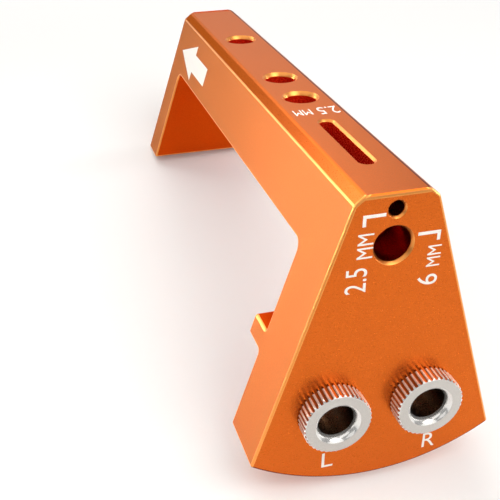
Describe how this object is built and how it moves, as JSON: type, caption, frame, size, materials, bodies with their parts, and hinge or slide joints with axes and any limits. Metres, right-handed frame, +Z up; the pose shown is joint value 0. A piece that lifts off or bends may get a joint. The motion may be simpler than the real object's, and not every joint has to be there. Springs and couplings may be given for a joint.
{
  "type": "drawer slide drilling jig",
  "caption": "One-piece bridge-shaped aluminium drilling jig with a flared drilling plate, knurled steel drill bushings, guide holes and a pilot slot.",
  "frame": {"origin": "middle of the footprint on the surface that the jig stands on", "axes": "+Z up, +Y from the drilling plate towards the far leg, +X to the right seen from the front. The jig stands on the plate's heel and the leg's foot, so its own square axes lean 11.7 degrees about X, far end down"},
  "size_m": [0.044, 0.121, 0.0561],
  "materials": {
    "anodised_body": "orange anodised, fine satin",
    "bushing_steel": "turned and knurled"
  },
  "bodies": {
    "root": {"jig_body": "anodised_body", "left_drill_bushing": "bushing_steel", "right_drill_bushing": "bushing_steel"}
  },
  "joints": []
}
